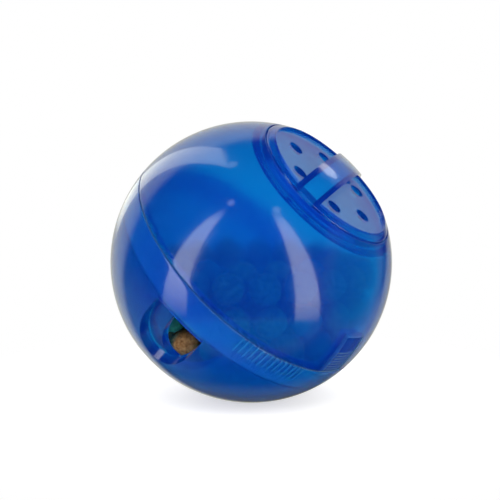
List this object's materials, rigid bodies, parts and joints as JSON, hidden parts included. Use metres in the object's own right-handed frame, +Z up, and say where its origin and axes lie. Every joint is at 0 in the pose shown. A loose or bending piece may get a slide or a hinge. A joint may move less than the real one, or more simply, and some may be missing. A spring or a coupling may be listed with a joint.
{
  "type": "treat dispensing ball",
  "caption": "Clear round ball that drops pet treats through a port as it rolls, with a turning portion shutter and a vented fill cap with a grip bar.",
  "frame": {"origin": "the point where the ball touches the floor, straight under its centre", "axes": "+Z up; the ball's axis, through the fill cap, leans 45 degrees from +Z towards +X; the port faces -Y and down"},
  "size_m": [0.076, 0.076, 0.076],
  "materials": {
    "clear_blue_shell": "clear tinted, polished",
    "clear_blue_shutter": "clear tinted, polished",
    "clear_blue_cap": "clear tinted, polished",
    "tan_treat": "dry, crumbly",
    "green_treat": "dry, crumbly"
  },
  "bodies": {
    "lower_half": {"lower_shell": "clear_blue_shell", "tan_treats": "tan_treat", "green_treats": "green_treat"},
    "shutter": {"shutter_ring": "clear_blue_shutter"},
    "upper_half": {"upper_shell": "clear_blue_shell"},
    "cap": {"fill_cap": "clear_blue_cap"}
  },
  "joints": [
    {"name": "portion_turn", "type": "hinge", "parent": "lower_half", "child": "shutter", "pos_m": [0, 0, 0.038], "axis": [0.7071, 0, 0.7071], "range_deg": [-9.7, 18]},
    {"name": "half_lift", "type": "slide", "parent": "shutter", "child": "upper_half", "axis": [0.7071, 0, 0.7071], "range_m": [0, 0.045]},
    {"name": "cap_lift", "type": "slide", "parent": "upper_half", "child": "cap", "axis": [0.7071, 0, 0.7071], "range_m": [0, 0.03]}
  ]
}
